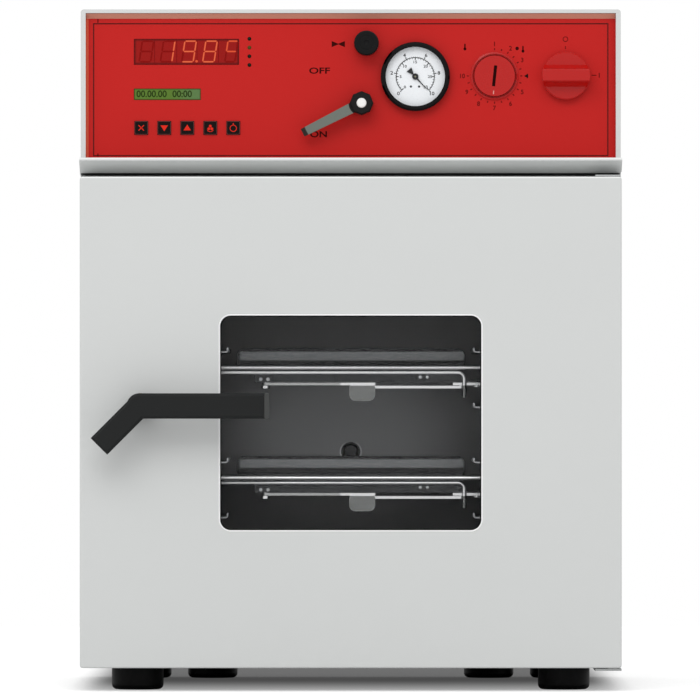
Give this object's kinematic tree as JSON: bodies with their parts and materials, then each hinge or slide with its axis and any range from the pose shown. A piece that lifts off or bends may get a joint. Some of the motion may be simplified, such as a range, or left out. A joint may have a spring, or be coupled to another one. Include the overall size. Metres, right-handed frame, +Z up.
{
  "type": "vacuum oven",
  "caption": "Bench-top vacuum drying oven with a windowed side-hinged door, latch handle, control head with gauge and valves, and two clamped shelves in a sealed chamber.",
  "frame": {"origin": "under the middle of the whole oven, on the surface that its feet stand on", "axes": "+X to the right as the user faces the door, -Y towards the user, +Z up"},
  "size_m": [0.516, 0.575, 0.65],
  "materials": {
    "grey_paint": "fine-textured powder coat",
    "plate_steel": "brushed",
    "chamber_steel": "matt brushed stainless",
    "panel_red": "satin",
    "foot_rubber": "matt",
    "led_window": "gloss",
    "lcd_window": "gloss",
    "lamp_lens": "gloss",
    "key_black": "satin",
    "board_green": "lacquered",
    "gauge_black": "gloss",
    "dial_white": "matt",
    "clear_lens": "clear",
    "pointer_black": "matt",
    "knob_red": "satin",
    "valve_brass": "machined",
    "knob_black": "satin",
    "lever_grey": "satin",
    "switch_block": "matt",
    "gasket_silicone": "matt",
    "mineral_wool": "fibrous",
    "heater_foil": "foil",
    "shelf_alu": "mill finish",
    "clamp_steel": "bright",
    "window_glass": "clear, grey",
    "handle_black": "satin",
    "pipe_steel": "drawn",
    "inlet_black": "matt"
  },
  "bodies": {
    "root": {"casing_shell": "grey_paint", "rear_panel": "grey_paint", "nose_trim": "grey_paint", "base_pan": "plate_steel", "front_frame": "plate_steel", "hinge_brackets": "plate_steel", "latch_keeper": "plate_steel", "chamber_vessel": "chamber_steel", "shelf_rails": "chamber_steel", "temperature_sensor": "chamber_steel", "control_panel": "panel_red", "feet": "foot_rubber", "led_display": "led_window", "lcd_display": "lcd_window", "indicator_lamps": "lamp_lens", "controller_board": "board_green", "gauge_case": "gauge_black", "gauge_dial": "dial_white", "gauge_lens": "clear_lens", "limiter_body": "knob_red", "air_valve_body": "valve_brass", "vacuum_valve_body": "valve_brass", "main_switch_body": "switch_block", "door_gasket": "gasket_silicone", "insulation_jacket": "mineral_wool", "heater_mats": "heater_foil", "shelf_1": "shelf_alu", "shelf_2": "shelf_alu", "clamp_frame_1": "clamp_steel", "clamp_frame_2": "clamp_steel", "vacuum_pipes": "pipe_steel", "vacuum_port": "pipe_steel", "gas_nozzle": "pipe_steel", "mains_inlet": "inlet_black"},
    "door": {"door_skin": "grey_paint", "door_back_plate": "plate_steel", "window_pane": "window_glass", "chamber_glass": "window_glass", "glass_springs": "plate_steel", "glass_clips": "plate_steel", "hinge_bushes": "valve_brass", "handle_bearing": "valve_brass"},
    "handle": {"door_handle": "handle_black", "latch_spindle": "pipe_steel"},
    "pointer": {"gauge_pointer": "pointer_black"},
    "lever": {"vacuum_lever": "lever_grey"},
    "air_knob": {"air_valve_knob": "knob_black"},
    "limiter": {"limiter_dial": "knob_red"},
    "switch": {"main_switch_knob": "knob_red"},
    "key_1": {"key_1": "key_black"},
    "key_2": {"key_2": "key_black"},
    "key_3": {"key_3": "key_black"},
    "key_4": {"key_4": "key_black"},
    "key_5": {"key_5": "key_black"},
    "link_left_1": {"link_left_1": "clamp_steel"},
    "link_right_1": {"link_right_1": "clamp_steel"},
    "clamp_pad_1": {"clamp_pad_1": "clamp_steel"},
    "link_left_2": {"link_left_2": "clamp_steel"},
    "link_right_2": {"link_right_2": "clamp_steel"},
    "clamp_pad_2": {"clamp_pad_2": "clamp_steel"}
  },
  "joints": [
    {"name": "door_hinge", "type": "hinge", "parent": "root", "child": "door", "pos_m": [0.2475, -0.2305, 0.2555], "axis": [0, 0, 1], "range_deg": [0, 120]},
    {"name": "handle_turn", "type": "hinge", "parent": "door", "child": "handle", "pos_m": [-0.2, -0.2425, 0.271], "axis": [0, -1, 0], "range_deg": [0, 90]},
    {"name": "gauge_needle", "type": "hinge", "parent": "root", "child": "pointer", "pos_m": [0.0617, -0.1845, 0.5859], "axis": [0, -1, 0], "range_deg": [0, 270]},
    {"name": "vacuum_lever_turn", "type": "hinge", "parent": "root", "child": "lever", "pos_m": [0.0103, -0.1845, 0.5603], "axis": [0, 1, 0], "range_deg": [0, 57]},
    {"name": "air_valve_turn", "type": "hinge", "parent": "root", "child": "air_knob", "pos_m": [0.015, -0.1845, 0.6176], "axis": [0, 1, 0], "range_deg": [0, 720]},
    {"name": "limiter_turn", "type": "hinge", "parent": "root", "child": "limiter", "pos_m": [0.1375, -0.1845, 0.5867], "axis": [0, 1, 0], "range_deg": [-187, 83]},
    {"name": "main_switch_turn", "type": "hinge", "parent": "root", "child": "switch", "pos_m": [0.2055, -0.1845, 0.5866], "axis": [0, -1, 0], "range_deg": [0, 90]},
    {"name": "key_1_press", "type": "slide", "parent": "root", "child": "key_1", "axis": [0, 1, 0], "range_m": [0, 0.0006], "stiffness_N_per_m": 400},
    {"name": "key_2_press", "type": "slide", "parent": "root", "child": "key_2", "axis": [0, 1, 0], "range_m": [0, 0.0006], "stiffness_N_per_m": 400},
    {"name": "key_3_press", "type": "slide", "parent": "root", "child": "key_3", "axis": [0, 1, 0], "range_m": [0, 0.0006], "stiffness_N_per_m": 400},
    {"name": "key_4_press", "type": "slide", "parent": "root", "child": "key_4", "axis": [0, 1, 0], "range_m": [0, 0.0006], "stiffness_N_per_m": 400},
    {"name": "key_5_press", "type": "slide", "parent": "root", "child": "key_5", "axis": [0, 1, 0], "range_m": [0, 0.0006], "stiffness_N_per_m": 400},
    {"name": "clamp_1_toggle", "type": "hinge", "parent": "root", "child": "link_left_1", "pos_m": [-0.082, -0.1455, 0.29355], "axis": [0, 0, -1], "range_deg": [0, 7]},
    {"name": "clamp_1_pad_slide", "type": "slide", "parent": "root", "child": "clamp_pad_1", "axis": [1, 0, 0], "range_m": [-0.0015, 0]},
    {"name": "clamp_1_right_link", "type": "hinge", "parent": "clamp_pad_1", "child": "link_right_1", "pos_m": [0.106, -0.1455, 0.29055], "axis": [0, 0, 1], "range_deg": [0, 7.5]},
    {"name": "clamp_2_toggle", "type": "hinge", "parent": "root", "child": "link_left_2", "pos_m": [-0.082, -0.1455, 0.18765], "axis": [0, 0, -1], "range_deg": [0, 7]},
    {"name": "clamp_2_pad_slide", "type": "slide", "parent": "root", "child": "clamp_pad_2", "axis": [1, 0, 0], "range_m": [-0.0015, 0]},
    {"name": "clamp_2_right_link", "type": "hinge", "parent": "clamp_pad_2", "child": "link_right_2", "pos_m": [0.106, -0.1455, 0.18465], "axis": [0, 0, 1], "range_deg": [0, 7.5]}
  ],
  "couplings": [
    {"joint": "clamp_1_pad_slide", "follows": "clamp_1_toggle", "m_per_rad": -0.01203},
    {"joint": "clamp_1_right_link", "follows": "clamp_1_toggle", "ratio": 1.0435},
    {"joint": "clamp_2_pad_slide", "follows": "clamp_2_toggle", "m_per_rad": -0.01203},
    {"joint": "clamp_2_right_link", "follows": "clamp_2_toggle", "ratio": 1.0435}
  ]
}
